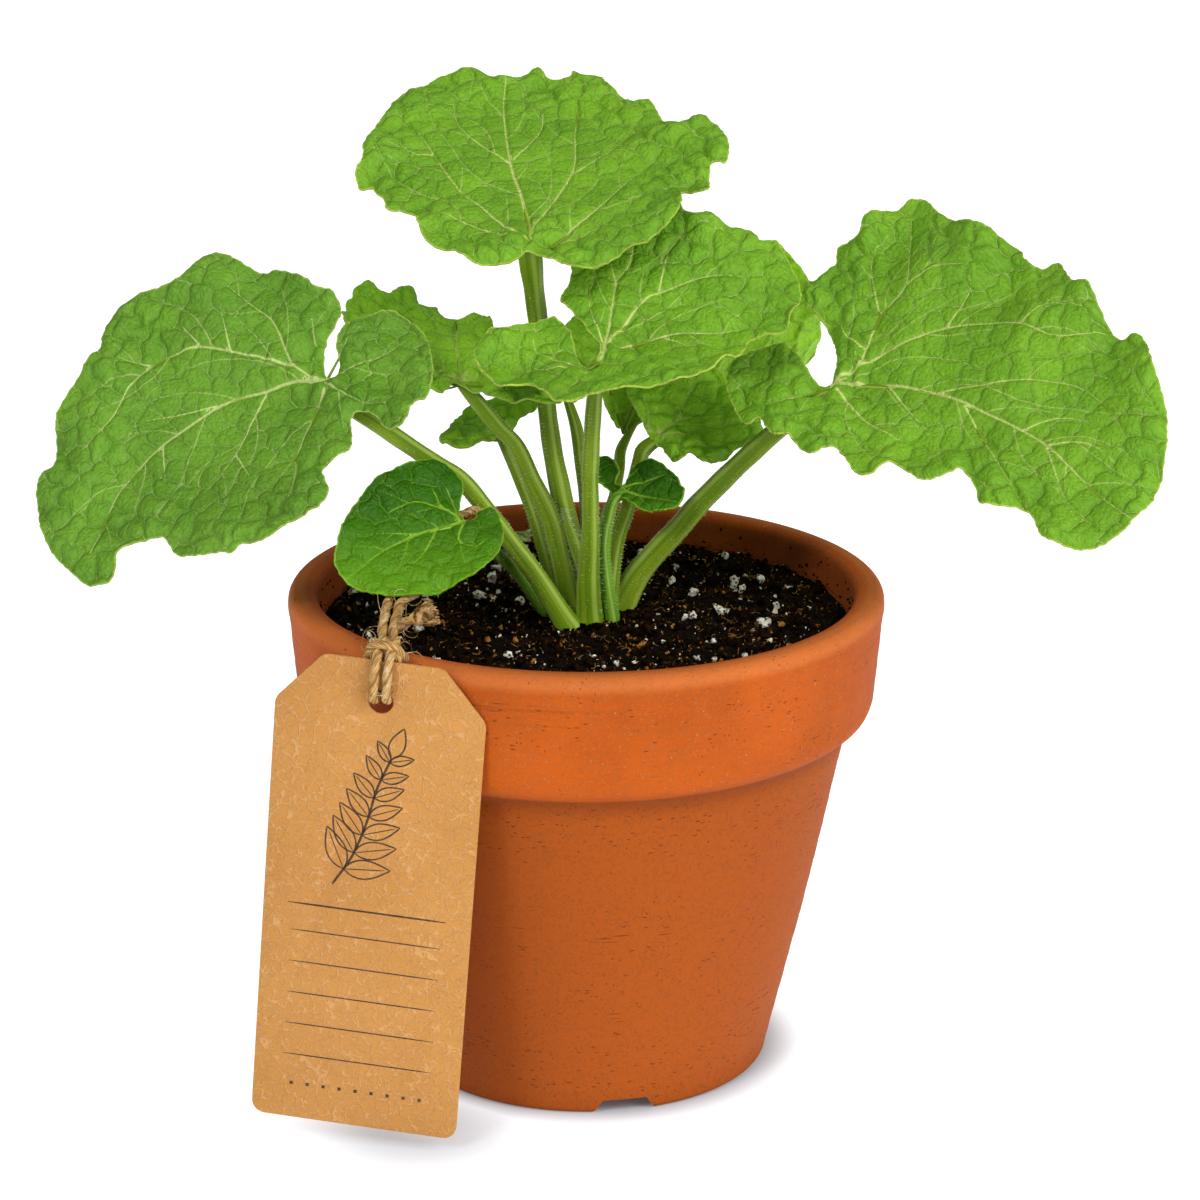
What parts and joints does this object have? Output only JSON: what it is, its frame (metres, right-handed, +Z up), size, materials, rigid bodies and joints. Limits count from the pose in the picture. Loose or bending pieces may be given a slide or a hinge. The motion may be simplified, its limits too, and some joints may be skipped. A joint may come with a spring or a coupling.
{
  "type": "potted burdock",
  "caption": "Young burdock with broad waved leaves in a filled terracotta pot, with a blank-style card tag tied on by jute twine.",
  "frame": {"origin": "pot axis at the underside of the pot's foot, which is the middle of the base of the part's box", "axes": "+Z up along the pot's axis, +X to the right as seen from the tag's side, -Y towards the tag"},
  "size_m": [0.2754, 0.15, 0.2422],
  "materials": {
    "terracotta": "matt fired clay",
    "potting_mix": "coarse dark mix",
    "crown": "matt",
    "leaf": "satin, puckered",
    "bright_leaf": "satin",
    "young_leaf": "satin",
    "kraft_card": "matt fibrous",
    "jute": "matt fibrous"
  },
  "bodies": {
    "root": {"pot": "terracotta", "soil": "potting_mix", "root_crown": "crown", "leaf_left": "leaf", "leaf_right": "leaf", "leaf_front": "leaf", "leaf_top": "leaf", "leaf_back": "leaf", "leaf_behind": "leaf", "leaf_shade": "leaf", "leaf_lower": "leaf", "leaf_hidden": "leaf", "leaf_heart": "bright_leaf", "leaf_low": "bright_leaf", "leaf_bud": "young_leaf", "tag": "kraft_card", "twine_loop": "jute", "twine_ring_left": "jute", "twine_ring_right": "jute", "twine_knot": "jute"}
  },
  "joints": []
}
